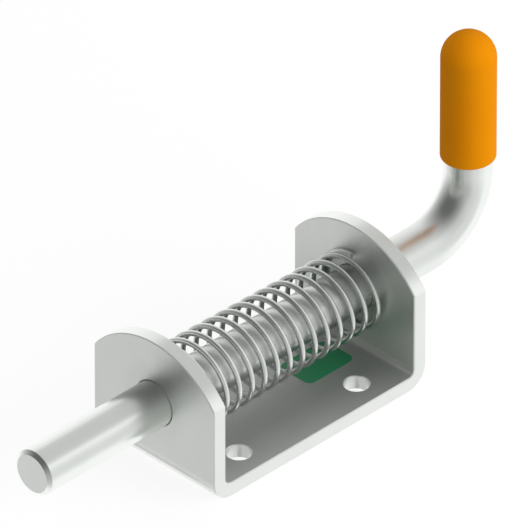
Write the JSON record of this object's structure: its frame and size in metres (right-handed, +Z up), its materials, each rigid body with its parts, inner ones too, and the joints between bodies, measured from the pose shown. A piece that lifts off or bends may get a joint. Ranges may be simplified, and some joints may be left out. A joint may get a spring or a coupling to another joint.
{
  "type": "spring bolt latch",
  "caption": "Spring-loaded slide bolt: a round bar through the domed ears of a U-shaped screw-on bracket, with a coil spring between them and an upturned handle with a soft grip.",
  "frame": {"origin": "centre of the bracket's underside, which is also the centre of its four screw holes", "axes": "+X along the bolt from the nose towards the handle, +Z up from the mounting surface, +Y sideways across the bracket"},
  "size_m": [0.1935, 0.051, 0.0941],
  "materials": {
    "zinc_plate": "satin zinc plate",
    "bright_bar": "bright zinc-plated bar",
    "spring_wire": "drawn wire, zinc plated",
    "pin_steel": "plain spring steel",
    "orange_plastic": "smooth matte vinyl"
  },
  "bodies": {
    "bracket": {"bracket": "zinc_plate", "spring": "spring_wire"},
    "spring_seat": {"thrust_washer": "zinc_plate"},
    "bolt": {"bolt": "bright_bar", "roll_pin": "pin_steel", "grip": "orange_plastic"}
  },
  "joints": [
    {"name": "bolt_slide", "type": "slide", "parent": "bracket", "child": "spring_seat", "axis": [1, 0, 0], "range_m": [0, 0.045], "stiffness_N_per_m": 440, "springref_m": -0.02, "deforming": ["spring"]},
    {"name": "handle_turn", "type": "hinge", "parent": "spring_seat", "child": "bolt", "pos_m": [0, 0, 0.025], "axis": [1, 0, 0], "continuous": true}
  ]
}
